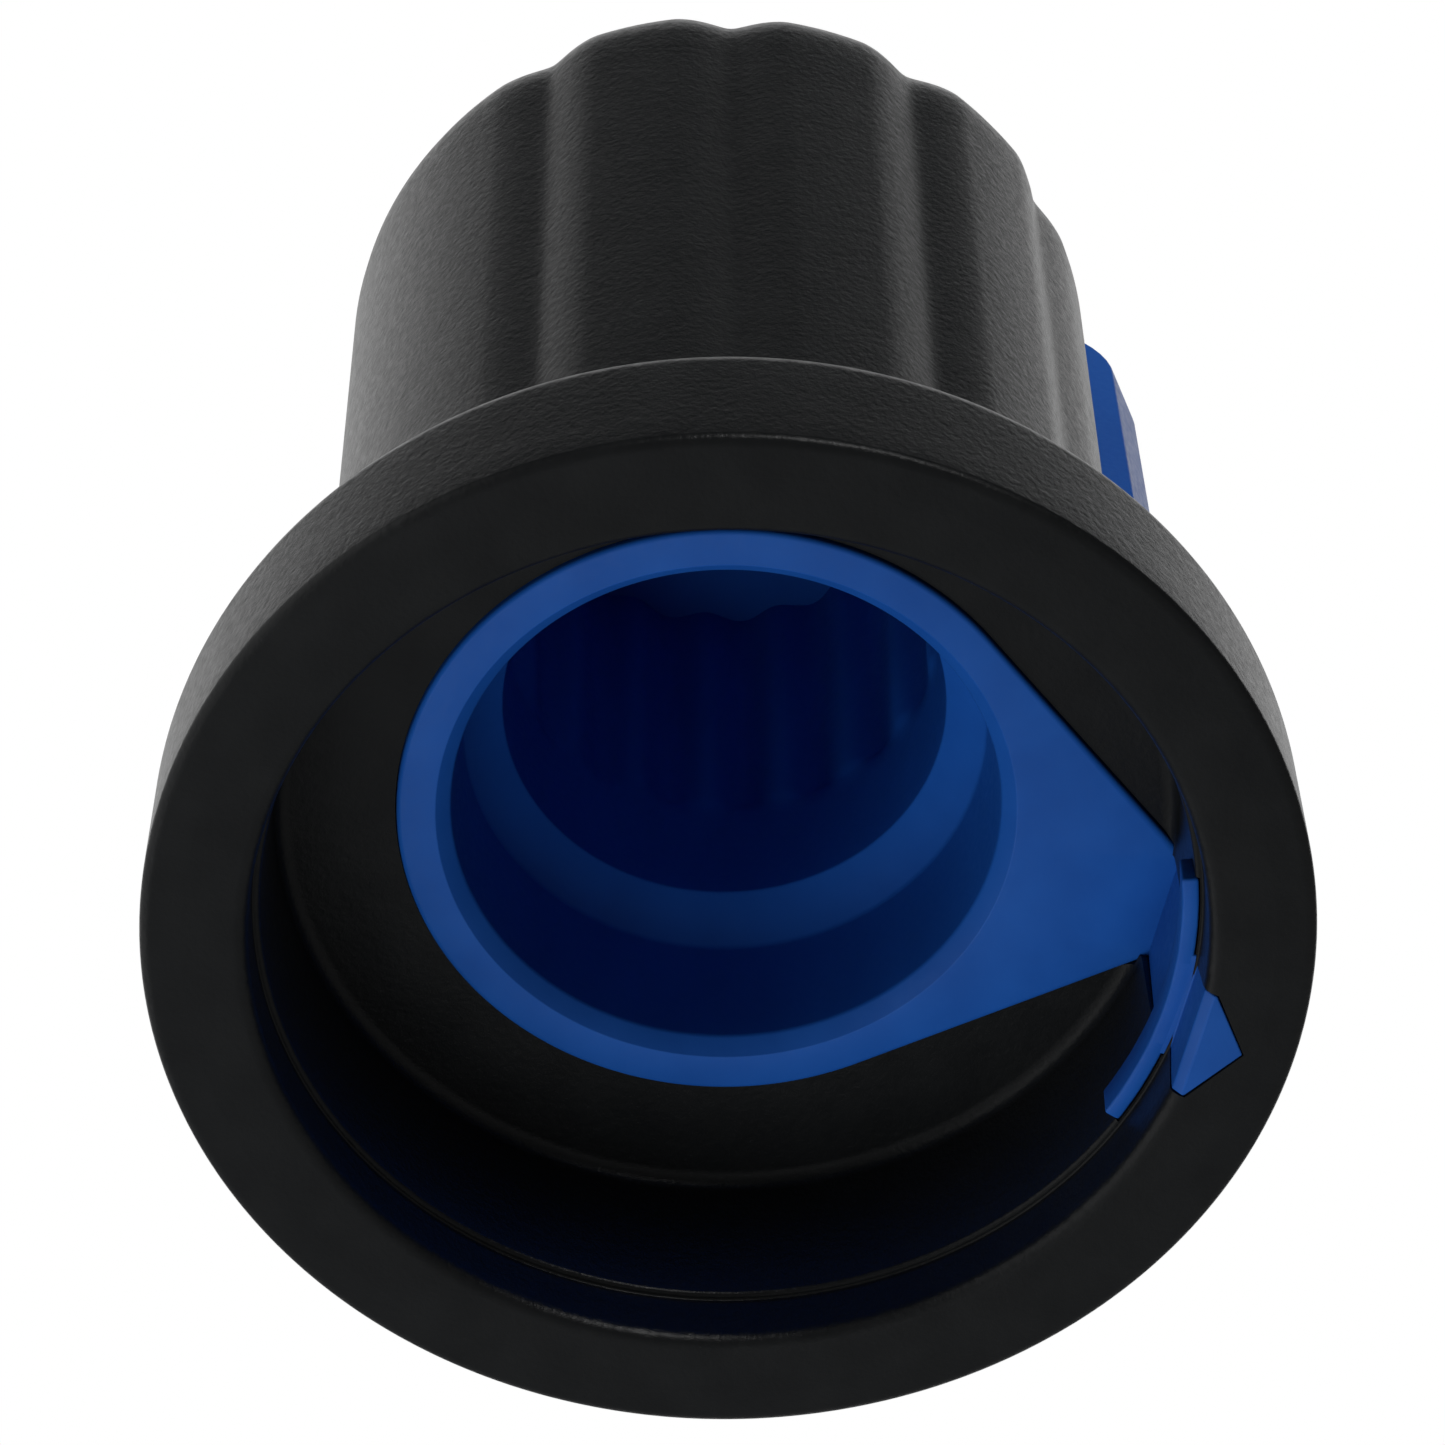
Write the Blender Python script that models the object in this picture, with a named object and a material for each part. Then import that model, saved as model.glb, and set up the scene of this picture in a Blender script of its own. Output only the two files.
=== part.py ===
"""Push-on rotary control knob for a 6 mm knurled shaft, in metres, +Z up.

Two moulded pieces: a black fluted shell with a flared skirt, and a blue insert that is the hub
round the shaft, a wedge-shaped web, and the pointer that comes out through the shell's wall.
The knob stands on its skirt. The origin is the centre of the skirt's rim, +Z runs along the
shaft axis to the knob's top, and the pointer faces -Y.
"""

import math

import bmesh
import bpy

MM = 0.001

# Driving dimensions.
HEIGHT = 17.0 * MM
SKIRT_RADIUS = 7.5 * MM
SHAFT_RADIUS = 3.0 * MM
POINTER_ANGLE = math.radians(-90)

# Skirt: a low band with a little draft, a flat rim, and a sloping shoulder up to the grip.
RIM_FLAT_RADIUS = 6.97 * MM
RIM_EDGE = 0.12 * MM
RIM_EDGE_DROP = 0.03 * MM
BAND_TOP = 2.2 * MM
BAND_ROUND = 0.4 * MM
BAND_DRAFT = 0.07 * MM
SHOULDER_TOP = 4.9 * MM
MOUTH_RADIUS = 6.12 * MM
MOUTH_DRAFT = 0.02 * MM
STEP_DEPTH = 0.88 * MM
STEP_RADIUS = 6.0 * MM
RECESS_DEPTH = 3.3 * MM
RECESS_RADIUS = 5.9 * MM

# Grip: three finger lobes on each side, and one broad lobe at the front and at the back.
GRIP_TOP_RADIUS = 5.28 * MM
GRIP_DRAFT = math.radians(1.0)
GROOVE_DEPTH = 0.19 * MM
GROOVE_ANGLES = (42, 72, 102, 132)
GROOVE_SPREAD = 9.0
GROOVE_BOTTOM = 1.5
GROOVE_CURVE = 1.6
BROAD_LOBE_DROP = 0.07 * MM
TOP_ROUND = 1.45 * MM
TOP_CROWN = 0.1 * MM

# Hub: the tube round the shaft, with a lead-in at its mouth and 18 grip ridges in its bore.
HUB_RADIUS = 4.31 * MM
HUB_FACE = 3.2 * MM
HUB_END = 14.2 * MM
MOUTH_CHAMFER_RADIUS = 3.8 * MM
COUNTERBORE_RADIUS = 3.6 * MM
COUNTERBORE_START = 3.42 * MM
COUNTERBORE_END_RADIUS = 3.49 * MM
COUNTERBORE_END = 5.37 * MM
BORE_START = 5.95 * MM
SMOOTH_BORE_RADIUS = 2.96 * MM
RIDGE_START = 8.0 * MM
RIDGE_LEAD_IN = 0.3 * MM
BORE_END = 13.2 * MM
RIDGES = 18
RIDGE_HEIGHT = 0.16 * MM
RIDGE_TIP_RADIUS = SHAFT_RADIUS - 0.11 * MM

# Web: tangent to the hub, narrowing to the pointer at the skirt's wall.
WEB_TOP = 3.75 * MM
WEB_END = 6.0 * MM
WEB_INNER_RADIUS = 4.05 * MM

# Pointer: a blade with a pointed nose, from the rim to the top.
POINTER_HALF_WIDTH = 0.79 * MM
NOSE_LENGTH = 0.56 * MM
NOSE_AT_RIM = 6.8 * MM
NOSE_AT_TOP = 6.22 * MM
LEG_INNER = 5.94 * MM
LEG_SLOT_INNER = 5.8 * MM
FOOT_INNER = 6.08 * MM
FOOT_CHAMFER = 0.12 * MM
BLADE_INNER = 4.1 * MM
TOP_STRIPE_INNER = 3.0 * MM
NOSE_CORNER = 0.85 * MM

# Strip: a thin arc in the skirt's wall, to both sides of the pointer.
STRIP_OUTER = 6.04 * MM
STRIP_THICKNESS = 0.22 * MM
STRIP_TOP = 1.4 * MM
STRIP_HALF_ANGLE = math.radians(18.6)

# Clearance that the shell's pocket leaves round the insert.
GAP = 0.05 * MM

# How far the cutting tool for the pointer's slot reaches past both ends of the shell.
SLOT_OVERSHOOT = 0.5 * MM

SHELL_SEGMENTS = 120
HUB_SEGMENTS = 108
ROUND_STEPS = 4
ARC_STEPS = 8


def point_at(radius, angle, z):
    """A point at an angle from the pointer's direction."""
    turned = POINTER_ANGLE + angle
    return (radius * math.cos(turned), radius * math.sin(turned), z)


def add_ring(mesh, segments, radius, z):
    """One loop of vertices. radius is a number, or a function of the angle from the pointer."""
    ring = []
    for step in range(segments):
        angle = 2 * math.pi * step / segments
        here = radius(angle) if callable(radius) else radius
        ring.append(mesh.verts.new(point_at(here, angle, z)))
    return ring


def join_rings(mesh, first, second):
    for step in range(len(first)):
        after = (step + 1) % len(first)
        mesh.faces.new((first[step], first[after], second[after], second[step]))


def close_ring(mesh, ring, z):
    """A fan from the ring to a point on the axis."""
    centre = mesh.verts.new((0, 0, z))
    for step in range(len(ring)):
        mesh.faces.new((ring[step], ring[(step + 1) % len(ring)], centre))


def turned_solid(name, profile, segments, start_z, end_z):
    """A closed solid from rings, which runs from a point on the axis to another one."""
    mesh = bmesh.new()
    rings = [add_ring(mesh, segments, radius, z) for radius, z in profile]
    close_ring(mesh, rings[0], start_z)
    for first, second in zip(rings, rings[1:]):
        join_rings(mesh, first, second)
    close_ring(mesh, rings[-1], end_z)
    return finished_object(name, mesh)


def prism(name, outline, low, high):
    """An outline of (x, y) points, extruded from low to high."""
    mesh = bmesh.new()
    bottom = [mesh.verts.new((x, y, low)) for x, y in outline]
    top = [mesh.verts.new((x, y, high)) for x, y in outline]
    mesh.faces.new(bottom)
    mesh.faces.new(top)
    join_rings(mesh, bottom, top)
    return finished_object(name, mesh)


def finished_object(name, mesh):
    bmesh.ops.recalc_face_normals(mesh, faces=mesh.faces)
    data = bpy.data.meshes.new(name)
    mesh.to_mesh(data)
    mesh.free()
    data.shade_smooth()
    data.set_sharp_from_angle(angle=math.radians(35))
    obj = bpy.data.objects.new(name, data)
    bpy.context.scene.collection.objects.link(obj)
    return obj


def plastic(name, colour, roughness):
    material = bpy.data.materials.new(name)
    material.use_nodes = True
    shader = material.node_tree.nodes["Principled BSDF"]
    shader.inputs["Base Color"].default_value = (*colour, 1.0)
    shader.inputs["Roughness"].default_value = roughness
    shader.inputs["Metallic"].default_value = 0.0
    return material


def helper(obj):
    """Keeps a tool of a Boolean out of the model."""
    obj.hide_render = True
    obj.display_type = "WIRE"
    return obj


def combine(target, tool, operation):
    modifier = target.modifiers.new(operation.title() + " " + tool.name, "BOOLEAN")
    modifier.operation = operation
    modifier.solver = "EXACT"
    modifier.object = helper(tool)


def flute_depth(angle):
    """How far the grip lies inside its crest, at an angle from the pointer."""
    away = abs((math.degrees(angle) + 180) % 360 - 180)
    nearest = min(abs(away - groove) for groove in GROOVE_ANGLES)
    softened = math.hypot(nearest, GROOVE_BOTTOM) - GROOVE_BOTTOM
    reach = math.hypot(GROOVE_SPREAD, GROOVE_BOTTOM) - GROOVE_BOTTOM
    share = max(0.0, 1 - softened / reach) ** GROOVE_CURVE
    on_broad_lobe = away < GROOVE_ANGLES[0] or away > GROOVE_ANGLES[-1]
    lobe = BROAD_LOBE_DROP if on_broad_lobe else 0.0
    return lobe + (GROOVE_DEPTH - lobe) * share


def grip_radius(z, inset=0.0):
    """The fluted outline at a height, as a function of the angle from the pointer."""
    crest = GRIP_TOP_RADIUS + (HEIGHT - z) * math.tan(GRIP_DRAFT) - inset
    return lambda angle: crest - flute_depth(angle)


def quarter_round(steps):
    """Pairs (how far in, how far along) of a quarter circle of radius 1, from its side to its end."""
    for step in range(steps + 1):
        turn = math.pi / 2 * step / steps
        yield 1 - math.cos(turn), math.sin(turn)


def shell_profile():
    """The shell's rings from its top, down the outside, round the rim, and up the inside."""
    rings = []
    edge_z = HEIGHT - TOP_CROWN
    for inward, upward in quarter_round(ROUND_STEPS):
        z = edge_z - TOP_ROUND * (1 - upward)
        rings.append((grip_radius(z, TOP_ROUND * inward), z))
    rings.reverse()
    rings.append((grip_radius(SHOULDER_TOP), SHOULDER_TOP))
    for inward, upward in reversed(list(quarter_round(ROUND_STEPS))):
        z = BAND_TOP - BAND_ROUND * (1 - upward)
        rings.append((SKIRT_RADIUS - BAND_DRAFT - BAND_ROUND * inward, z))
    rings.append((SKIRT_RADIUS, RIM_EDGE))
    rings.append((SKIRT_RADIUS - RIM_EDGE, RIM_EDGE_DROP))
    rings.append((RIM_FLAT_RADIUS, 0))
    rings.append((MOUTH_RADIUS, 0))
    rings.append((MOUTH_RADIUS - MOUTH_DRAFT, STEP_DEPTH))
    rings.append((STEP_RADIUS, STEP_DEPTH))
    rings.append((RECESS_RADIUS, RECESS_DEPTH))
    rings.append((HUB_RADIUS + GAP, RECESS_DEPTH))
    rings.append((HUB_RADIUS + GAP, HUB_END + GAP))
    return rings


def bore_radius(angle):
    wave = 0.5 - 0.5 * math.cos(RIDGES * angle)
    return RIDGE_TIP_RADIUS + RIDGE_HEIGHT * wave


def hub_profile():
    """The hub's rings from its closed end, down the outside, across its face, and up the bore."""
    return [
        (HUB_RADIUS, HUB_END),
        (HUB_RADIUS, HUB_FACE),
        (MOUTH_CHAMFER_RADIUS, HUB_FACE),
        (COUNTERBORE_RADIUS, COUNTERBORE_START),
        (COUNTERBORE_END_RADIUS, COUNTERBORE_END),
        (SMOOTH_BORE_RADIUS, BORE_START),
        (SMOOTH_BORE_RADIUS, RIDGE_START),
        (bore_radius, RIDGE_START + RIDGE_LEAD_IN),
        (bore_radius, BORE_END),
    ]


def along_pointer(out, across):
    """(x, y) of a place out along the pointer's direction and across it."""
    cosine, sine = math.cos(POINTER_ANGLE), math.sin(POINTER_ANGLE)
    return (out * cosine - across * sine, out * sine + across * cosine)


def web_outline(grow):
    """The wedge: an arc inside the hub's wall, and two sides that are tangent to the hub."""
    corner_reach = math.hypot(WEB_END, POINTER_HALF_WIDTH)
    corner_angle = math.atan2(POINTER_HALF_WIDTH, WEB_END)
    tangent = corner_angle + math.acos(HUB_RADIUS / corner_reach)
    end = WEB_END + grow
    side = POINTER_HALF_WIDTH + grow
    outline = [along_pointer(end, -side), along_pointer(end, side)]
    touch = HUB_RADIUS + grow
    outline.append(along_pointer(touch * math.cos(tangent), touch * math.sin(tangent)))
    for step in range(ARC_STEPS + 1):
        turn = tangent * (1 - 2 * step / ARC_STEPS)
        inner = WEB_INNER_RADIUS
        outline.append(along_pointer(inner * math.cos(turn), inner * math.sin(turn)))
    outline.append(along_pointer(touch * math.cos(tangent), -touch * math.sin(tangent)))
    return outline


def nose_reach(z, rounded_top):
    """How far out the pointer's nose is at a height, with or without its rounded top corner."""
    reach = NOSE_AT_RIM + (NOSE_AT_TOP - NOSE_AT_RIM) * z / HEIGHT
    above = z - (HEIGHT - NOSE_CORNER)
    if rounded_top and above > 0:
        reach -= NOSE_CORNER - math.sqrt(max(NOSE_CORNER**2 - above**2, 0))
    return reach


def pointer_blade(name, grow, overshoot):
    """The pointer: flat sides, a stepped inner edge, and a nose that comes to a point.

    overshoot lengthens it past both ends of the knob and leaves out its chamfer and round corner.
    """
    side = POINTER_HALF_WIDTH + grow
    bottom, top = -overshoot, HEIGHT + overshoot
    whole = overshoot == 0
    leg_inner = LEG_INNER if whole else LEG_SLOT_INNER
    inner_edge = [
        (TOP_STRIPE_INNER - grow, top),
        (TOP_STRIPE_INNER - grow, HUB_END + 2 * GAP - grow),
        (BLADE_INNER, HUB_END + 2 * GAP - grow),
        (BLADE_INNER, HUB_FACE),
        (leg_inner, HUB_FACE),
        (leg_inner, STEP_DEPTH),
        (FOOT_INNER - grow, STEP_DEPTH),
    ]
    heights = [bottom]
    if whole:
        inner_edge += [(FOOT_INNER, FOOT_CHAMFER), (FOOT_INNER + FOOT_CHAMFER, bottom)]
        for inward, upward in quarter_round(ROUND_STEPS):
            heights.append(HEIGHT - NOSE_CORNER * (1 - upward))
    else:
        inner_edge.append((FOOT_INNER - grow, bottom))
        heights.append(top)

    mesh = bmesh.new()

    def at(out, across, z):
        x, y = along_pointer(out, across)
        return mesh.verts.new((x, y, z))

    sides = []
    for across in (-side, side):
        loop = [at(out, across, z) for out, z in inner_edge]
        loop += [at(nose_reach(z, whole) + grow - NOSE_LENGTH, across, z) for z in heights]
        sides.append(loop)
        mesh.faces.new(loop)
    nose = [at(nose_reach(z, whole) + grow, 0, z) for z in heights]
    inner = len(inner_edge)
    for step in range(inner - 1):
        mesh.faces.new((sides[0][step], sides[0][step + 1], sides[1][step + 1], sides[1][step]))
    for loop in sides:
        for step in range(len(heights) - 1):
            low, high = loop[inner + step], loop[inner + step + 1]
            mesh.faces.new((low, nose[step], nose[step + 1], high))
    last = inner + len(heights) - 1
    mesh.faces.new((sides[0][inner - 1], sides[0][inner], nose[0], sides[1][inner], sides[1][inner - 1]))
    mesh.faces.new((sides[0][0], sides[0][last], nose[-1], sides[1][last], sides[1][0]))
    return finished_object(name, mesh)


def strip_outline(grow):
    inner = STRIP_OUTER - STRIP_THICKNESS - grow
    outer = STRIP_OUTER + grow
    half = STRIP_HALF_ANGLE + grow / STRIP_OUTER
    turns = [half * (2 * step / ARC_STEPS - 1) for step in range(ARC_STEPS + 1)]
    outline = [point_at(inner, turn, 0)[:2] for turn in turns]
    outline += [point_at(outer, turn, 0)[:2] for turn in reversed(turns)]
    return outline


def make_insert():
    insert = turned_solid("pointer_insert", hub_profile(), HUB_SEGMENTS, HUB_END, BORE_END)
    combine(insert, prism("web", web_outline(0), HUB_FACE, WEB_TOP), "UNION")
    combine(insert, pointer_blade("blade", 0, 0), "UNION")
    combine(insert, prism("strip", strip_outline(0), STEP_DEPTH, STRIP_TOP), "UNION")
    insert.data.materials.append(plastic("blue_plastic", (0.008, 0.085, 0.42), 0.42))
    return insert


def make_shell():
    shell = turned_solid("knob_shell", shell_profile(), SHELL_SEGMENTS, HEIGHT, HUB_END + GAP)
    web_pocket = prism("web_pocket", web_outline(GAP), HUB_FACE - GAP, WEB_TOP + GAP)
    blade_slot = pointer_blade("blade_slot", GAP, SLOT_OVERSHOOT)
    strip_slot = prism("strip_slot", strip_outline(GAP), STEP_DEPTH - GAP, STRIP_TOP + GAP)
    for tool in (web_pocket, blade_slot, strip_slot):
        combine(shell, tool, "DIFFERENCE")
    shell.data.materials.append(plastic("black_plastic", (0.012, 0.012, 0.013), 0.55))
    return shell


def main():
    for obj in list(bpy.data.objects):
        bpy.data.objects.remove(obj, do_unlink=True)
    make_insert()
    make_shell()


main()
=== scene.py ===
"""Looks for the rotary control knob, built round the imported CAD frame.

Both CAD nodes are replaced by finer meshes of the same sizes: a fluted black shell and a blue
insert. They are modelled in millimetres and degrees, and scaled to metres when they are done.
+Z is the shaft axis, and the pointer faces -Y.
"""

import math

import bmesh
import bpy
from mathutils import Matrix, Vector


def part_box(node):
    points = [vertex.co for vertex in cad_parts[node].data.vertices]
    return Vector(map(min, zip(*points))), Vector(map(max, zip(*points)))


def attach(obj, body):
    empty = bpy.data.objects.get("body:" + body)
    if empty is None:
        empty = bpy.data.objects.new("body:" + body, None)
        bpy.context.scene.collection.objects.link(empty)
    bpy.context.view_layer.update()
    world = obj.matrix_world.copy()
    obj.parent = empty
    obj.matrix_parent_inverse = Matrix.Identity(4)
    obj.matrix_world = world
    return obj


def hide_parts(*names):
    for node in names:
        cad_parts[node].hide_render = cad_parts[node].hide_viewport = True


MM = 0.001

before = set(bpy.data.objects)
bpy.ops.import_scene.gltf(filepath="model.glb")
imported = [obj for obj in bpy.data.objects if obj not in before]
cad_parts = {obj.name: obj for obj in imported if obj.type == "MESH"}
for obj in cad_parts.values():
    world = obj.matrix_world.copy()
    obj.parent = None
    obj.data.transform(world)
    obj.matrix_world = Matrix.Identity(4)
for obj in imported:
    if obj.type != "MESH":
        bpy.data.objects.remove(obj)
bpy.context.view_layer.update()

# Overall sizes come from the frame, in millimetres.
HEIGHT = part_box("knob_shell")[1].z / MM
SKIRT_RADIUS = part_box("knob_shell")[1].x / MM
NOSE_AT_RIM = -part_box("pointer_insert")[0].y / MM

# Skirt, in millimetres.
BAND_TOP = 2.2
BAND_DRAFT = 0.07
BAND_FILLET = 0.5
RIM_FLAT_RADIUS = 6.97
RIM_FLAT_FILLET = 0.3
RIM_EDGE = 0.12
RIM_CORNER_FILLET = 0.12
RIM_EDGE_TOP = 0.1
RIM_EDGE_DROP = 0.03
RIM_EDGE_FILLET = 0.2
SHOULDER_TOP = 4.9
SHOULDER_FILLET = 1.4
MOUTH_RADIUS = 6.12
MOUTH_DRAFT = 0.02
MOUTH_FILLET = 0.2
STEP_DEPTH = 0.88
STEP_RADIUS = 6.0
STEP_CORNER_FILLET = 0.03
STEP_EDGE_FILLET = 0.07
RECESS_DEPTH = 3.3
RECESS_RADIUS = 5.9
RECESS_FILLET = 0.22

# Grip, in millimetres and degrees.
GRIP_TOP_RADIUS = 5.28
GRIP_DRAFT = 1.0
GROOVE_DEPTH = 0.19
GROOVE_ANGLES = (42, 72, 102, 132)
GROOVE_SPREAD = 9.0
GROOVE_BOTTOM = 1.5
GROOVE_CURVE = 1.6
BROAD_LOBE_DROP = 0.07
TOP_ROUND = 1.45
TOP_CROWN = 0.1
CENTRE_RADIUS = 0.4
CENTRE_DROP = 0.002
CROWN_BEND_SHARE = 0.55
CROWN_BEND_DROP = 0.03
CROWN_FILLET = 1.5
FLUTES_START = 3.6
FLUTES_FULL = 5.4

# Hub and bore, in millimetres.
HUB_RADIUS = 4.31
HUB_FACE = 3.2
HUB_END = 14.2
FACE_CREASE_RADIUS = 3.8
FACE_CREASE_WIDTH = 0.12
FACE_CREASE_FILLET = 0.03
COUNTERBORE_RADIUS = 3.6
COUNTERBORE_START = 3.42
COUNTERBORE_START_FILLET = 0.12
COUNTERBORE_END_RADIUS = 3.49
COUNTERBORE_END = 5.37
COUNTERBORE_END_FILLET = 0.15
BORE_START = 5.95
BORE_START_FILLET = 0.08
SMOOTH_BORE_RADIUS = 2.96
RIDGE_START = 8.0
RIDGE_LEAD_IN = 0.3
RIDGE_LEAD_IN_SHARES = (0, 0.3, 0.7, 1)
BORE_END = 13.2
RIDGES = 18
RIDGE_HEIGHT = 0.16
RIDGE_TIP_RADIUS = 2.89

# Web and pointer, in millimetres.
WEB_TOP = 3.75
WEB_EDGE_ROUND = 0.07
WEB_EDGE_STEPS = 4
WEB_END = 6.0
POINTER_HALF_WIDTH = 0.79
POINTER_EDGE_ROUND = 0.05
NOSE_LENGTH = 0.56
NOSE_AT_TOP = 6.22
LEG_INNER = 5.94
LEG_SLOT_INNER = 5.8
FOOT_INNER = 6.08
FOOT_CHAMFER = 0.12
BLADE_INNER = 4.1
TOP_STRIPE_INNER = 3.0
STRIPE_ABOVE_HUB = 0.05
BLADE_INTO_WEB = 0.1
NOSE_CORNER = 0.85
NOSE_CORNER_STEPS = 8
SLOT_OVERSHOOT = 1.0

# Strip, in millimetres and degrees.
STRIP_OUTER = 6.04
STRIP_THICKNESS = 0.22
STRIP_TOP = 1.4
STRIP_HALF_ANGLE = 18.6
STRIP_STEPS = 48
STRIP_EDGE_ROUND = 0.04
STRIP_EDGE_ANGLE = 50
STRIP_SLOT_OVERSHOOT = 0.1

# The clearance between the two pieces, in millimetres.
SEAM = 0.015

# How fine the meshes are: points round the axis, and the longest stretches in millimetres.
SEGMENTS = 576
SHELL_PROFILE_STEP = 0.5
HUB_PROFILE_STEP = 0.4

# A profile's corner that is this open stays as it is, and shading is sharp past this bend. Degrees.
STRAIGHT_CORNER = 179
SHARP_BEND = 30

# The way the pointer faces, in degrees from +X.
POINTER_TURN = -90.0


# ---------------------------------------------------------------- mesh tools


def place(radius, angle, z):
    """A point at an angle from the pointer's direction."""
    turned = math.radians(POINTER_TURN + angle)
    return Vector((radius * math.cos(turned), radius * math.sin(turned), z))


def rounded(corners, steps=6):
    """Replaces each corner (radius, z, fillet) of a profile by an arc of that fillet radius."""
    points = [corners[0][:2]]
    for before, corner, after in zip(corners, corners[1:], corners[2:]):
        here = Vector(corner[:2])
        fillet = corner[2]
        to_before = (Vector(before[:2]) - here).normalized()
        to_after = (Vector(after[:2]) - here).normalized()
        opening = to_before.angle(to_after)
        if fillet == 0 or opening > math.radians(STRAIGHT_CORNER):
            points.append(tuple(here))
            continue
        centre_way = (to_before + to_after).normalized()
        centre = here + centre_way * (fillet / math.sin(opening / 2))
        back = fillet / math.tan(opening / 2)
        start = here + to_before * back - centre
        end = here + to_after * back - centre
        swing = start.angle_signed(end)
        for step in range(steps + 1):
            turn = -swing * step / steps
            cosine, sine = math.cos(turn), math.sin(turn)
            arm = Vector((start.x * cosine - start.y * sine, start.x * sine + start.y * cosine))
            points.append(tuple(centre + arm))
    points.append(corners[-1][:2])
    return points


def subdivided(points, longest):
    """Adds points so that no stretch of a profile is longer than this."""
    result = [points[0]]
    for first, second in zip(points, points[1:]):
        length = math.hypot(second[0] - first[0], second[1] - first[1])
        parts = max(1, math.ceil(length / longest))
        for part in range(1, parts + 1):
            share = part / parts
            result.append(tuple(a + (b - a) * share for a, b in zip(first, second)))
    return result


def lofted(name, rings, ends, shift=0.0):
    """A closed mesh from rings of (radius function of angle, z), closed at two axis heights.

    shift turns its points by that share of a step, so that they miss those of the mesh it cuts.
    """
    mesh = bmesh.new()
    loops = []
    for radius_at, z in rings:
        loop = []
        for step in range(SEGMENTS):
            angle = 360 * (step + shift) / SEGMENTS
            loop.append(mesh.verts.new(place(radius_at(angle), angle, z)))
        loops.append(loop)
    for first, second in zip(loops, loops[1:]):
        for step in range(SEGMENTS):
            after = (step + 1) % SEGMENTS
            mesh.faces.new((first[step], first[after], second[after], second[step]))
    for loop, z in zip((loops[0], loops[-1]), ends):
        centre = mesh.verts.new((0, 0, z))
        for step in range(SEGMENTS):
            mesh.faces.new((loop[step], loop[(step + 1) % SEGMENTS], centre))
    return make_object(name, mesh)


def make_object(name, mesh):
    """Turns a bmesh into an object of the scene, with its faces pointing out."""
    bmesh.ops.recalc_face_normals(mesh, faces=mesh.faces)
    data = bpy.data.meshes.new(name)
    mesh.to_mesh(data)
    mesh.free()
    obj = bpy.data.objects.new(name, data)
    bpy.context.scene.collection.objects.link(obj)
    return obj


def bake_modifiers(obj):
    """Turns what the modifiers make into the object's own mesh."""
    graph = bpy.context.evaluated_depsgraph_get()
    data = bpy.data.meshes.new_from_object(obj.evaluated_get(graph))
    obj.modifiers.clear()
    obj.data = data


def round_edges(obj, width, angle=25.0, segments=3):
    """Rounds the edges where the surface bends by more than the angle."""
    modifier = obj.modifiers.new("round", "BEVEL")
    modifier.width = width
    modifier.segments = segments
    modifier.limit_method = "ANGLE"
    modifier.angle_limit = math.radians(angle)
    bake_modifiers(obj)


def combine(target, tool, operation):
    """Joins or cuts the target with the tool, which is then removed."""
    modifier = target.modifiers.new(operation, "BOOLEAN")
    modifier.operation = operation
    modifier.solver = "EXACT"
    modifier.object = tool
    bake_modifiers(target)
    bpy.data.objects.remove(tool)


def finish_piece(obj, material):
    """Scales a piece to metres, shades it smooth between its edges, and gives it its material."""
    obj.data.transform(Matrix.Scale(MM, 4))
    obj.data.shade_smooth()
    obj.data.set_sharp_from_angle(angle=math.radians(SHARP_BEND))
    normals = obj.modifiers.new("flat faces stay flat", "WEIGHTED_NORMAL")
    normals.keep_sharp = True
    obj.data.materials.clear()
    obj.data.materials.append(material)


# ---------------------------------------------------------------- shapes


def flute_depth(angle):
    """How far the grip lies inside its crest, at an angle from the pointer."""
    away = abs((angle + 180) % 360 - 180)
    nearest = min(abs(away - groove) for groove in GROOVE_ANGLES)
    softened = math.hypot(nearest, GROOVE_BOTTOM) - GROOVE_BOTTOM
    reach = math.hypot(GROOVE_SPREAD, GROOVE_BOTTOM) - GROOVE_BOTTOM
    share = max(0.0, 1 - softened / reach) ** GROOVE_CURVE
    on_broad_lobe = away < GROOVE_ANGLES[0] or away > GROOVE_ANGLES[-1]
    lobe = BROAD_LOBE_DROP if on_broad_lobe else 0.0
    return lobe + (GROOVE_DEPTH - lobe) * share


def fluted(radius, flute):
    """A ring of this crest radius, with that share of the grooves' depth."""
    return lambda angle: radius - flute * flute_depth(angle)


def crest_radius(z):
    """The grip's radius at its crests, which grows downwards with the draft."""
    return GRIP_TOP_RADIUS + (HEIGHT - z) * math.tan(math.radians(GRIP_DRAFT))


def ease(value):
    """A smooth rise from 0 to 1, level at both ends."""
    value = min(max(value, 0.0), 1.0)
    return value * value * (3 - 2 * value)


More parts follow.
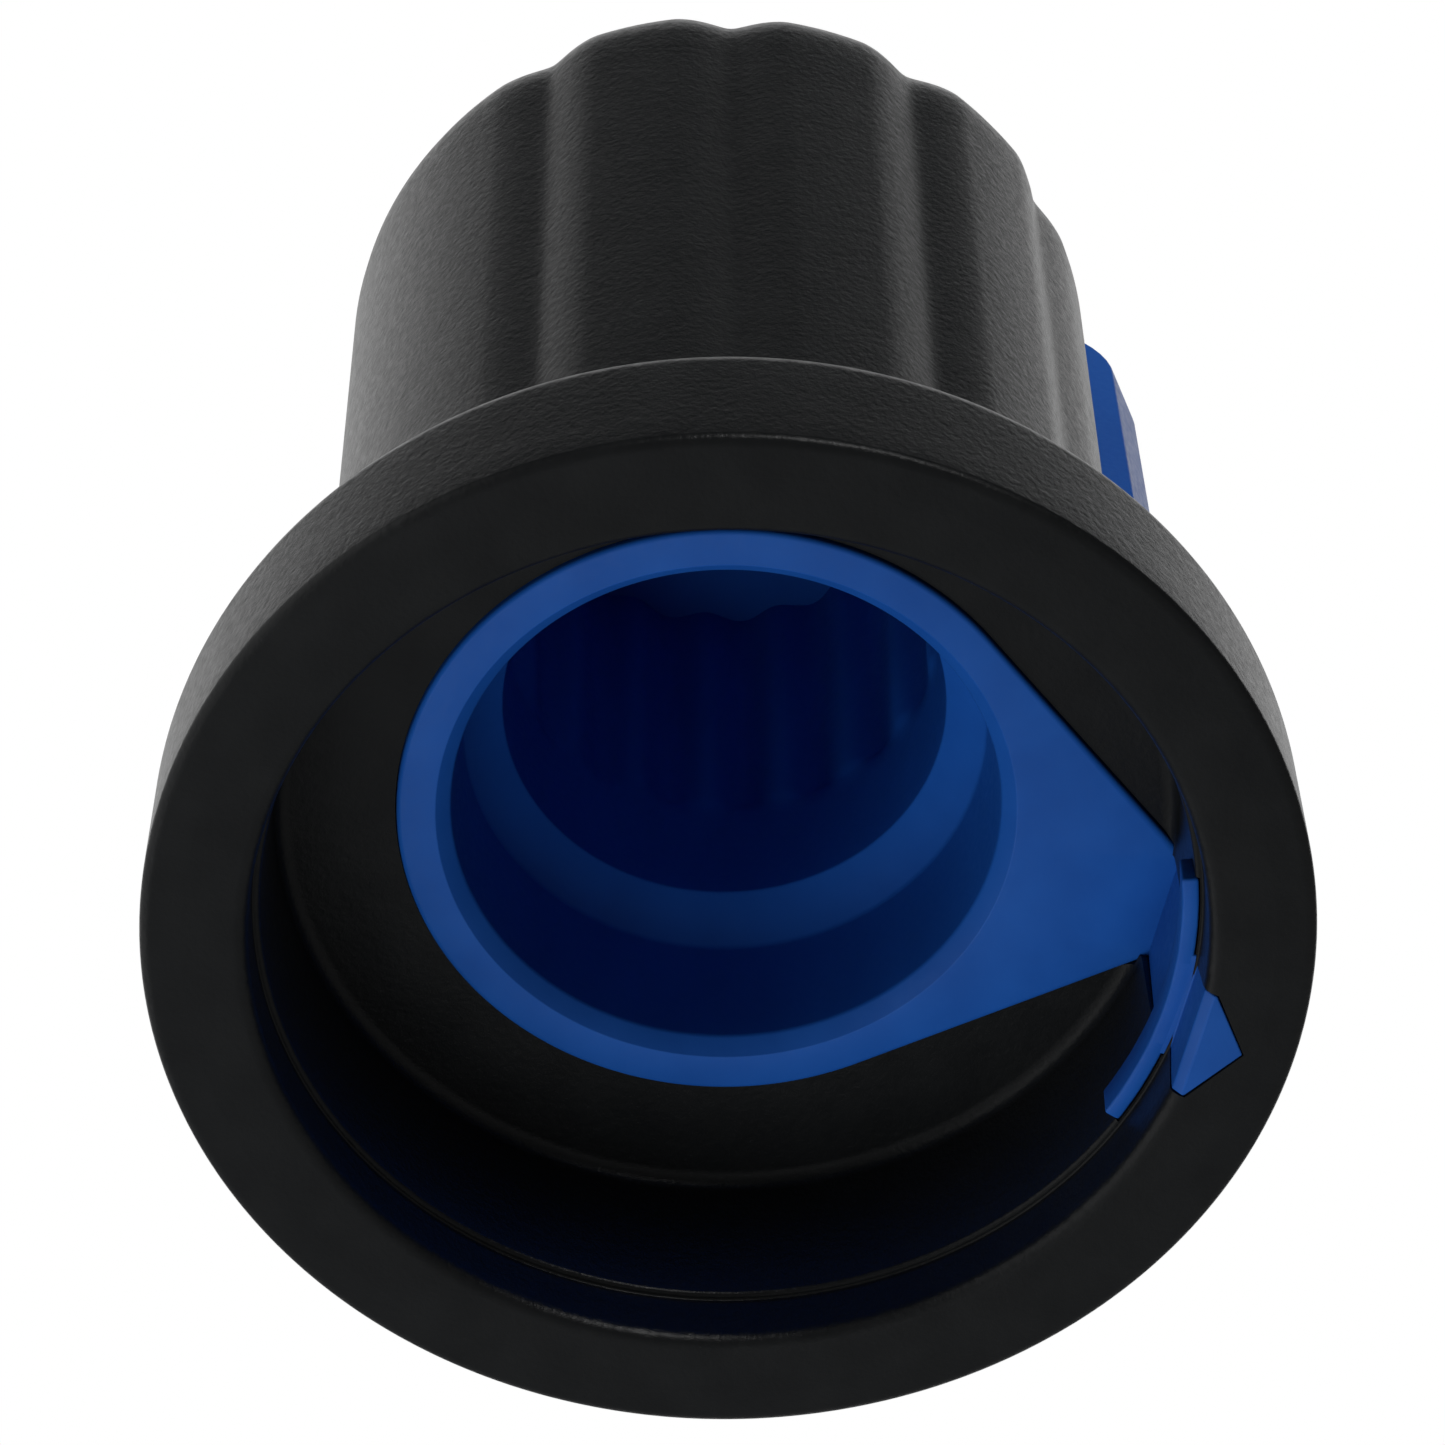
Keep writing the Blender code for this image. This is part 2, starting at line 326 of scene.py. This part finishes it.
def shell_rings():
    """The shell's rings: top, grip, shoulder, band, rim, and up the inside of the skirt."""
    edge = HEIGHT - TOP_CROWN
    flat_radius = crest_radius(edge) - TOP_ROUND
    profile = rounded(
        [
            (CENTRE_RADIUS, HEIGHT - CENTRE_DROP, 0),
            (flat_radius * CROWN_BEND_SHARE, HEIGHT - CROWN_BEND_DROP, CROWN_FILLET),
            (crest_radius(edge), edge, TOP_ROUND),
            (crest_radius(SHOULDER_TOP), SHOULDER_TOP, SHOULDER_FILLET),
            (SKIRT_RADIUS - BAND_DRAFT, BAND_TOP, BAND_FILLET),
            (SKIRT_RADIUS, RIM_EDGE_TOP, RIM_CORNER_FILLET),
            (SKIRT_RADIUS - RIM_EDGE, RIM_EDGE_DROP, RIM_EDGE_FILLET),
            (RIM_FLAT_RADIUS, 0.0, RIM_FLAT_FILLET),
            (MOUTH_RADIUS, 0.0, MOUTH_FILLET),
            (MOUTH_RADIUS - MOUTH_DRAFT, STEP_DEPTH, STEP_CORNER_FILLET),
            (STEP_RADIUS, STEP_DEPTH, STEP_EDGE_FILLET),
            (RECESS_RADIUS, RECESS_DEPTH, RECESS_FILLET),
            (HUB_RADIUS + SEAM, RECESS_DEPTH, 0),
        ],
        steps=8,
    )
    rings = []
    for radius, z in subdivided(profile, SHELL_PROFILE_STEP):
        on_grip = ease((z - FLUTES_START) / (FLUTES_FULL - FLUTES_START))
        on_top = ease(radius / flat_radius)
        rings.append((fluted(radius, on_grip * on_top), z))
    rings.append((constant(HUB_RADIUS + SEAM), HUB_END + SEAM))
    return rings


def teardrop(grow):
    """The hub's round outline with the web's two tangent sides, as a radius at an angle."""
    reach = math.hypot(WEB_END + grow, POINTER_HALF_WIDTH + grow)
    corner = math.degrees(math.atan2(POINTER_HALF_WIDTH + grow, WEB_END + grow))
    hub = HUB_RADIUS + grow
    tangent = corner + math.degrees(math.acos(hub / reach))

    def radius_at(angle):
        away = abs((angle + 180) % 360 - 180)
        if away >= tangent:
            return hub
        if away >= corner:
            return hub / math.cos(math.radians(tangent - away))
        return (WEB_END + grow) / math.cos(math.radians(away))

    return radius_at


def constant(radius):
    """A round ring."""
    return lambda angle: radius


def ridged(radius, depth):
    """A ring of the bore, from its ridges' radius out to its grooves."""
    return lambda angle: radius + depth * (0.5 - 0.5 * math.cos(math.radians(RIDGES * angle)))


def hub_rings():
    """The hub's rings: closed end, wall, back of the web, face, counterbore and ridged bore."""
    rings = [(constant(HUB_RADIUS), HUB_END), (constant(HUB_RADIUS), WEB_TOP), (teardrop(0), WEB_TOP)]
    for step in range(WEB_EDGE_STEPS + 1):
        turn = math.radians(90 * step / WEB_EDGE_STEPS)
        inset = WEB_EDGE_ROUND * (math.cos(turn) - 1)
        rings.append((teardrop(inset), HUB_FACE + WEB_EDGE_ROUND * (1 - math.sin(turn))))
    inside = rounded(
        [
            (FACE_CREASE_RADIUS + FACE_CREASE_WIDTH, HUB_FACE, 0),
            (FACE_CREASE_RADIUS, HUB_FACE, FACE_CREASE_FILLET),
            (COUNTERBORE_RADIUS, COUNTERBORE_START, COUNTERBORE_START_FILLET),
            (COUNTERBORE_END_RADIUS, COUNTERBORE_END, COUNTERBORE_END_FILLET),
            (SMOOTH_BORE_RADIUS, BORE_START, BORE_START_FILLET),
            (SMOOTH_BORE_RADIUS, RIDGE_START, 0),
        ],
        steps=5,
    )
    rings += [(constant(radius), z) for radius, z in subdivided(inside, HUB_PROFILE_STEP)]
    for share in RIDGE_LEAD_IN_SHARES:
        radius = SMOOTH_BORE_RADIUS + (RIDGE_TIP_RADIUS - SMOOTH_BORE_RADIUS) * share
        rings.append((ridged(radius, RIDGE_HEIGHT * share), RIDGE_START + RIDGE_LEAD_IN * share))
    rings.append((ridged(RIDGE_TIP_RADIUS, RIDGE_HEIGHT), BORE_END))
    return rings


def out_and_across(out, across, z):
    """A point out along the pointer's direction and across it."""
    turned = math.radians(POINTER_TURN)
    cosine, sine = math.cos(turned), math.sin(turned)
    return Vector((out * cosine - across * sine, out * sine + across * cosine, z))


def nose_reach(z, rounded_top):
    """How far out the pointer's nose comes at a height."""
    reach = NOSE_AT_RIM + (NOSE_AT_TOP - NOSE_AT_RIM) * z / HEIGHT
    above = z - (HEIGHT - NOSE_CORNER)
    if rounded_top and above > 0:
        reach -= NOSE_CORNER - math.sqrt(max(NOSE_CORNER**2 - above**2, 0))
    return reach


def blade(name, grow, overshoot):
    """The pointer: flat sides, a stepped inner edge and a pointed nose.

    With an overshoot it is the longer tool, without rounding or chamfer, that cuts the slot for it.
    """
    side = POINTER_HALF_WIDTH + grow
    bottom, top = -overshoot, HEIGHT + overshoot
    leg_inner = LEG_SLOT_INNER if overshoot else LEG_INNER
    inner_edge = [
        (TOP_STRIPE_INNER - grow, top),
        (TOP_STRIPE_INNER - grow, HUB_END + STRIPE_ABOVE_HUB - grow),
        (BLADE_INNER, HUB_END + STRIPE_ABOVE_HUB - grow),
        (BLADE_INNER, HUB_FACE + BLADE_INTO_WEB),
        (leg_inner, HUB_FACE + BLADE_INTO_WEB),
        (leg_inner, STEP_DEPTH),
        (FOOT_INNER - grow, STEP_DEPTH),
    ]
    if overshoot:
        inner_edge.append((FOOT_INNER - grow, bottom))
    else:
        inner_edge.append((FOOT_INNER, FOOT_CHAMFER))
        inner_edge.append((FOOT_INNER + FOOT_CHAMFER, bottom))
    heights = [bottom, top]
    if not overshoot:
        heights = [bottom]
        for step in range(NOSE_CORNER_STEPS + 1):
            turn = math.pi / 2 * step / NOSE_CORNER_STEPS
            heights.append(HEIGHT - NOSE_CORNER + NOSE_CORNER * math.sin(turn))
    mesh = bmesh.new()

    def vertex(out, across, z):
        return mesh.verts.new(out_and_across(out, across, z))

    sides = []
    for across in (-side, side):
        loop = [vertex(out, across, z) for out, z in inner_edge]
        for z in heights:
            loop.append(vertex(nose_reach(z, not overshoot) + grow - NOSE_LENGTH, across, z))
        sides.append(loop)
        mesh.faces.new(loop)
    nose = [vertex(nose_reach(z, not overshoot) + grow, 0, z) for z in heights]
    inner = len(inner_edge)
    left, right = sides
    for step in range(inner - 1):
        mesh.faces.new((left[step], left[step + 1], right[step + 1], right[step]))
    for loop in sides:
        for step in range(len(heights) - 1):
            low, high = loop[inner + step], loop[inner + step + 1]
            mesh.faces.new((low, nose[step], nose[step + 1], high))
    mesh.faces.new((left[inner - 1], left[inner], nose[0], right[inner], right[inner - 1]))
    mesh.faces.new((left[0], left[-1], nose[-1], right[-1], right[0]))
    return make_object(name, mesh)


def strip(name, grow, low):
    """A thin arc in the skirt's wall, which starts at a height that is called low."""
    mesh = bmesh.new()
    inner, outer, high = STRIP_OUTER - STRIP_THICKNESS - grow, STRIP_OUTER + grow, STRIP_TOP + grow
    half_angle = STRIP_HALF_ANGLE + math.degrees(grow / STRIP_OUTER)
    rows = []
    for radius, z in ((inner, low), (outer, low), (outer, high), (inner, high)):
        row = []
        for step in range(STRIP_STEPS + 1):
            angle = half_angle * (2 * step / STRIP_STEPS - 1)
            row.append(mesh.verts.new(place(radius, angle, z)))
        rows.append(row)
    for first, second in zip(rows, rows[1:] + rows[:1]):
        for step in range(STRIP_STEPS):
            mesh.faces.new((first[step], first[step + 1], second[step + 1], second[step]))
    mesh.faces.new([row[0] for row in rows])
    mesh.faces.new([row[-1] for row in rows])
    return make_object(name, mesh)


def teardrop_block(name, grow, low, high):
    """A block with the outline of the hub and its web, which cuts the web's pocket."""
    ring = teardrop(grow)
    return lofted(name, [(ring, low), (ring, high)], (low, high), shift=0.5)


# ---------------------------------------------------------------- materials

# Where most of a noise texture's values lie.
NOISE_LOW = 0.3
NOISE_HIGH = 0.7

BLACK_DARK = (0.0066, 0.0074, 0.0082)
BLACK_LIGHT = (0.0092, 0.0102, 0.011)
BLUE_DARK = (0.009, 0.08, 0.365)
BLUE_LIGHT = (0.012, 0.097, 0.42)


class Nodes:
    """A short way to write a material's nodes."""

    def __init__(self, name):
        self.material = bpy.data.materials.new(name)
        self.material.use_nodes = True
        self.tree = self.material.node_tree
        self.shader = self.tree.nodes["Principled BSDF"]
        self.position = self.tree.nodes.new("ShaderNodeTexCoord").outputs["Object"]

    def noise(self, per_mm, detail=2.0, roughness=0.5, stretch=None):
        source = self.position
        if stretch:
            mapping = self.tree.nodes.new("ShaderNodeMapping")
            mapping.inputs["Scale"].default_value = stretch
            self.tree.links.new(source, mapping.inputs["Vector"])
            source = mapping.outputs["Vector"]
        node = self.tree.nodes.new("ShaderNodeTexNoise")
        node.inputs["Scale"].default_value = per_mm / MM
        node.inputs["Detail"].default_value = detail
        node.inputs["Roughness"].default_value = roughness
        self.tree.links.new(source, node.inputs["Vector"])
        return node.outputs["Fac"]

    def spread(self, value, low, high):
        """A noise's usual range, stretched to run from low to high."""
        node = self.tree.nodes.new("ShaderNodeMapRange")
        node.inputs["From Min"].default_value = NOISE_LOW
        node.inputs["From Max"].default_value = NOISE_HIGH
        node.inputs["To Min"].default_value = low
        node.inputs["To Max"].default_value = high
        self.tree.links.new(value, node.inputs["Value"])
        return node.outputs["Result"]

    def mixed(self, share, first, second):
        node = self.tree.nodes.new("ShaderNodeMix")
        node.data_type = "RGBA"
        node.inputs["A"].default_value = (*first, 1)
        node.inputs["B"].default_value = (*second, 1)
        self.tree.links.new(share, node.inputs["Factor"])
        return node.outputs["Result"]

    def bumps(self, layers):
        """Bumps of (height source, distance in millimetres, strength), one on top of another."""
        normal = None
        for height, distance, strength in layers:
            node = self.tree.nodes.new("ShaderNodeBump")
            node.inputs["Distance"].default_value = distance * MM
            node.inputs["Strength"].default_value = strength
            self.tree.links.new(height, node.inputs["Height"])
            if normal:
                self.tree.links.new(normal, node.inputs["Normal"])
            normal = node.outputs["Normal"]
        self.tree.links.new(normal, self.shader.inputs["Normal"])

    def to(self, value, socket):
        self.tree.links.new(value, self.shader.inputs[socket])


def black_plastic():
    """Satin black moulding with the fine grain of a spark-eroded mould."""
    nodes = Nodes("black_moulded_plastic")
    grain = nodes.noise(per_mm=9.0, detail=4.0, roughness=0.65)
    mottle = nodes.noise(per_mm=1.3, detail=3.0)
    colour = nodes.mixed(nodes.spread(mottle, 0, 1), BLACK_DARK, BLACK_LIGHT)
    nodes.to(colour, "Base Color")
    nodes.to(nodes.spread(grain, low=0.3, high=0.42), "Roughness")
    nodes.bumps([(mottle, 0.02, 0.3), (grain, 0.02, 0.6)])
    return nodes.material


def blue_plastic():
    """Smooth mid-blue moulding, with faint flow marks and a little colour variation."""
    nodes = Nodes("blue_moulded_plastic")
    fine = nodes.noise(per_mm=9.0, detail=2.0)
    flow = nodes.noise(per_mm=0.9, detail=3.0, stretch=(1.0, 1.0, 0.35))
    colour = nodes.mixed(nodes.spread(flow, 0, 1), BLUE_DARK, BLUE_LIGHT)
    nodes.to(colour, "Base Color")
    nodes.to(nodes.spread(fine, low=0.36, high=0.48), "Roughness")
    nodes.bumps([(flow, 0.03, 0.25), (fine, 0.006, 0.4)])
    return nodes.material


# ---------------------------------------------------------------- pieces


def make_insert(material):
    insert = lofted("blue_insert", hub_rings(), (HUB_END, BORE_END))
    pointer = blade("pointer", 0, 0)
    round_edges(pointer, POINTER_EDGE_ROUND)
    combine(insert, pointer, "UNION")
    band = strip("strip", 0, STEP_DEPTH)
    round_edges(band, STRIP_EDGE_ROUND, angle=STRIP_EDGE_ANGLE)
    combine(insert, band, "UNION")
    finish_piece(insert, material)
    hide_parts("pointer_insert")
    return insert


def make_shell(material):
    shell = lofted("fluted_shell", shell_rings(), (HEIGHT, HUB_END + SEAM))
    combine(shell, teardrop_block("web_pocket", SEAM, HUB_FACE - SEAM, WEB_TOP + SEAM), "DIFFERENCE")
    combine(shell, blade("pointer_slot", SEAM, SLOT_OVERSHOOT), "DIFFERENCE")
    combine(shell, strip("strip_slot", SEAM, STEP_DEPTH - STRIP_SLOT_OVERSHOOT), "DIFFERENCE")
    finish_piece(shell, material)
    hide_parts("knob_shell")
    return shell


# ---------------------------------------------------------------- camera, light and floor

# Camera, in millimetres and degrees: its angle to the knob's axis, its lean to one side, and where
# the rim's centre and the pointer lie in its view. LENS is for a sensor of SENSOR_WIDTH.
CAMERA_DISTANCE = 101.76
CAMERA_TILT = 31.69
CAMERA_LEAN = -0.5
POINTER_IN_VIEW = 14.0
RIM_CENTRE_RIGHT = 0.078
RIM_CENTRE_DOWN = 2.903
LENS = 199.3
SENSOR_WIDTH = 36

# Floor, in millimetres.
FLOOR_BELOW_RIM = 0.02
FLOOR_FADE_START = 16.0
FLOOR_FADE_END = 60.0
FLOOR_SHADE = 0.86
FLOOR_ROUGHNESS = 0.9

# How high the lights aim, as a share of the knob's height.
LIGHT_TARGET_SHARE = 0.4


def view_axes():
    """The camera's right, down and forward directions: it looks up into the knob's open end."""
    turned = math.radians(POINTER_TURN - POINTER_IN_VIEW)
    across = Vector((math.cos(turned), math.sin(turned), 0))
    upright = Vector((0, 0, 1))
    away = upright.cross(across)
    tilt, lean = math.radians(CAMERA_TILT), math.radians(CAMERA_LEAN)
    right = across * math.cos(lean) + upright * math.sin(lean)
    axis_side = upright * math.cos(lean) - across * math.sin(lean)
    down = away * math.cos(tilt) - axis_side * math.sin(tilt)
    forward = away * math.sin(tilt) + axis_side * math.cos(tilt)
    return right, down, forward


def make_camera():
    """The camera, placed by where the rim's centre lies in its view."""
    right, down, forward = view_axes()
    data = bpy.data.cameras.new("camera")
    data.lens = LENS
    data.sensor_width = SENSOR_WIDTH
    data.clip_start = 0.005
    data.clip_end = 20
    camera = bpy.data.objects.new("camera", data)
    axes = Matrix((right, -down, -forward)).transposed()
    eye = -(right * RIM_CENTRE_RIGHT + down * RIM_CENTRE_DOWN + forward * CAMERA_DISTANCE) * MM
    camera.matrix_world = Matrix.Translation(eye) @ axes.to_4x4()
    bpy.context.scene.collection.objects.link(camera)
    bpy.context.scene.camera = camera


def make_floor():
    """A pale floor under the knob, which fades into the white round it and is clear from below."""
    mesh = bmesh.new()
    half = 2 * FLOOR_FADE_END * MM
    level = -FLOOR_BELOW_RIM * MM
    outline = ((-half, -half), (half, -half), (half, half), (-half, half))
    mesh.faces.new([mesh.verts.new((x, y, level)) for x, y in outline])
    floor = make_object("floor", mesh)
    material = bpy.data.materials.new("floor_paint")
    material.use_nodes = True
    tree = material.node_tree
    shader = tree.nodes["Principled BSDF"]
    shader.inputs["Base Color"].default_value = (FLOOR_SHADE, FLOOR_SHADE, FLOOR_SHADE, 1)
    shader.inputs["Roughness"].default_value = FLOOR_ROUGHNESS
    distance = tree.nodes.new("ShaderNodeVectorMath")
    distance.operation = "LENGTH"
    tree.links.new(tree.nodes.new("ShaderNodeTexCoord").outputs["Object"], distance.inputs[0])
    fade = tree.nodes.new("ShaderNodeMapRange")
    fade.interpolation_type = "SMOOTHSTEP"
    fade.inputs["From Min"].default_value = FLOOR_FADE_START * MM
    fade.inputs["From Max"].default_value = FLOOR_FADE_END * MM
    tree.links.new(distance.outputs["Value"], fade.inputs["Value"])
    clear_share = tree.nodes.new("ShaderNodeMath")
    clear_share.operation = "MAXIMUM"
    tree.links.new(fade.outputs["Result"], clear_share.inputs[0])
    backfacing = tree.nodes.new("ShaderNodeNewGeometry").outputs["Backfacing"]
    tree.links.new(backfacing, clear_share.inputs[1])
    clear = tree.nodes.new("ShaderNodeBsdfTransparent")
    mix = tree.nodes.new("ShaderNodeMixShader")
    tree.links.new(clear_share.outputs["Value"], mix.inputs["Fac"])
    tree.links.new(shader.outputs["BSDF"], mix.inputs[1])
    tree.links.new(clear.outputs["BSDF"], mix.inputs[2])
    tree.links.new(mix.outputs["Shader"], tree.nodes["Material Output"].inputs["Surface"])
    floor.data.materials.append(material)
    floor.visible_diffuse = False
    floor.visible_glossy = False
    floor.visible_transmission = False
    floor.visible_shadow = False


def make_world():
    """The studio round the knob, by the camera's directions.

    It is white behind the knob, pale to the left, and dim elsewhere, most of all above. These are
    the values that light the knob. The camera itself sees white all round.
    """
    right, down, forward = view_axes()
    world = bpy.data.worlds.new("studio")
    world.use_nodes = True
    bpy.context.scene.world = world
    tree = world.node_tree
    direction = tree.nodes.new("ShaderNodeTexCoord").outputs["Generated"]

    def along(axis, low, high, low_value, high_value):
        """A value that changes between two cosines of the angle to an axis, low and high."""
        dot = tree.nodes.new("ShaderNodeVectorMath")
        dot.operation = "DOT_PRODUCT"
        dot.inputs[1].default_value = axis
        tree.links.new(direction, dot.inputs[0])
        scale = tree.nodes.new("ShaderNodeMapRange")
        scale.interpolation_type = "SMOOTHSTEP"
        scale.inputs["From Min"].default_value = low
        scale.inputs["From Max"].default_value = high
        scale.inputs["To Min"].default_value = low_value
        scale.inputs["To Max"].default_value = high_value
        tree.links.new(dot.outputs["Value"], scale.inputs["Value"])
        return scale.outputs["Result"]

    def maths(operation, first, second):
        node = tree.nodes.new("ShaderNodeMath")
        node.operation = operation
        tree.links.new(first, node.inputs[0])
        tree.links.new(second, node.inputs[1])
        return node.outputs["Value"]

    behind = along(forward, low=0.71, high=0.85, low_value=0.0, high_value=1.0)
    dimmer_upwards = along(-down, low=-0.6, high=0.6, low_value=0.12, high_value=0.028)
    left = along(-right, low=0.5, high=0.8, low_value=0.0, high_value=0.42)
    total = maths("MAXIMUM", maths("MAXIMUM", behind, dimmer_upwards), left)
    seen = tree.nodes.new("ShaderNodeLightPath").outputs["Is Camera Ray"]
    strength = maths("MAXIMUM", total, seen)
    background = tree.nodes["Background"]
    background.inputs["Color"].default_value = (1, 1, 1, 1)
    tree.links.new(strength, background.inputs["Strength"])


def make_light(name, towards, distance, size, power, highlights):
    """A square softbox that faces the knob's middle. It gives either highlights or even light."""
    data = bpy.data.lights.new(name, "AREA")
    data.size = size * MM
    data.energy = power
    light = bpy.data.objects.new(name, data)
    middle = Vector((0, 0, HEIGHT * MM * LIGHT_TARGET_SHARE))
    light.location = middle + towards.normalized() * distance * MM
    light.rotation_euler = towards.to_track_quat("Z", "Y").to_euler()
    light.visible_glossy = highlights
    light.visible_diffuse = not highlights
    light.visible_camera = False
    bpy.context.scene.collection.objects.link(light)


def make_lights():
    right, down, forward = view_axes()
    below_left = down * 1.1 - forward - right * 0.45
    above = right * 0.2 - down
    above_front = -down * 0.75 - forward * 0.66 + right * 0.3
    make_light("fill_below", below_left, distance=120, size=90, power=0.09, highlights=False)
    make_light("fill_above", above, distance=120, size=90, power=0.11, highlights=False)
    make_light("edge_light", above_front, distance=200, size=60, power=0.055, highlights=True)


def main():
    bpy.context.scene.view_settings.view_transform = "Standard"
    black = black_plastic()
    blue = blue_plastic()
    for piece in (make_shell(black), make_insert(blue)):
        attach(piece, "root")
    make_camera()
    make_world()
    make_lights()
    make_floor()


main()
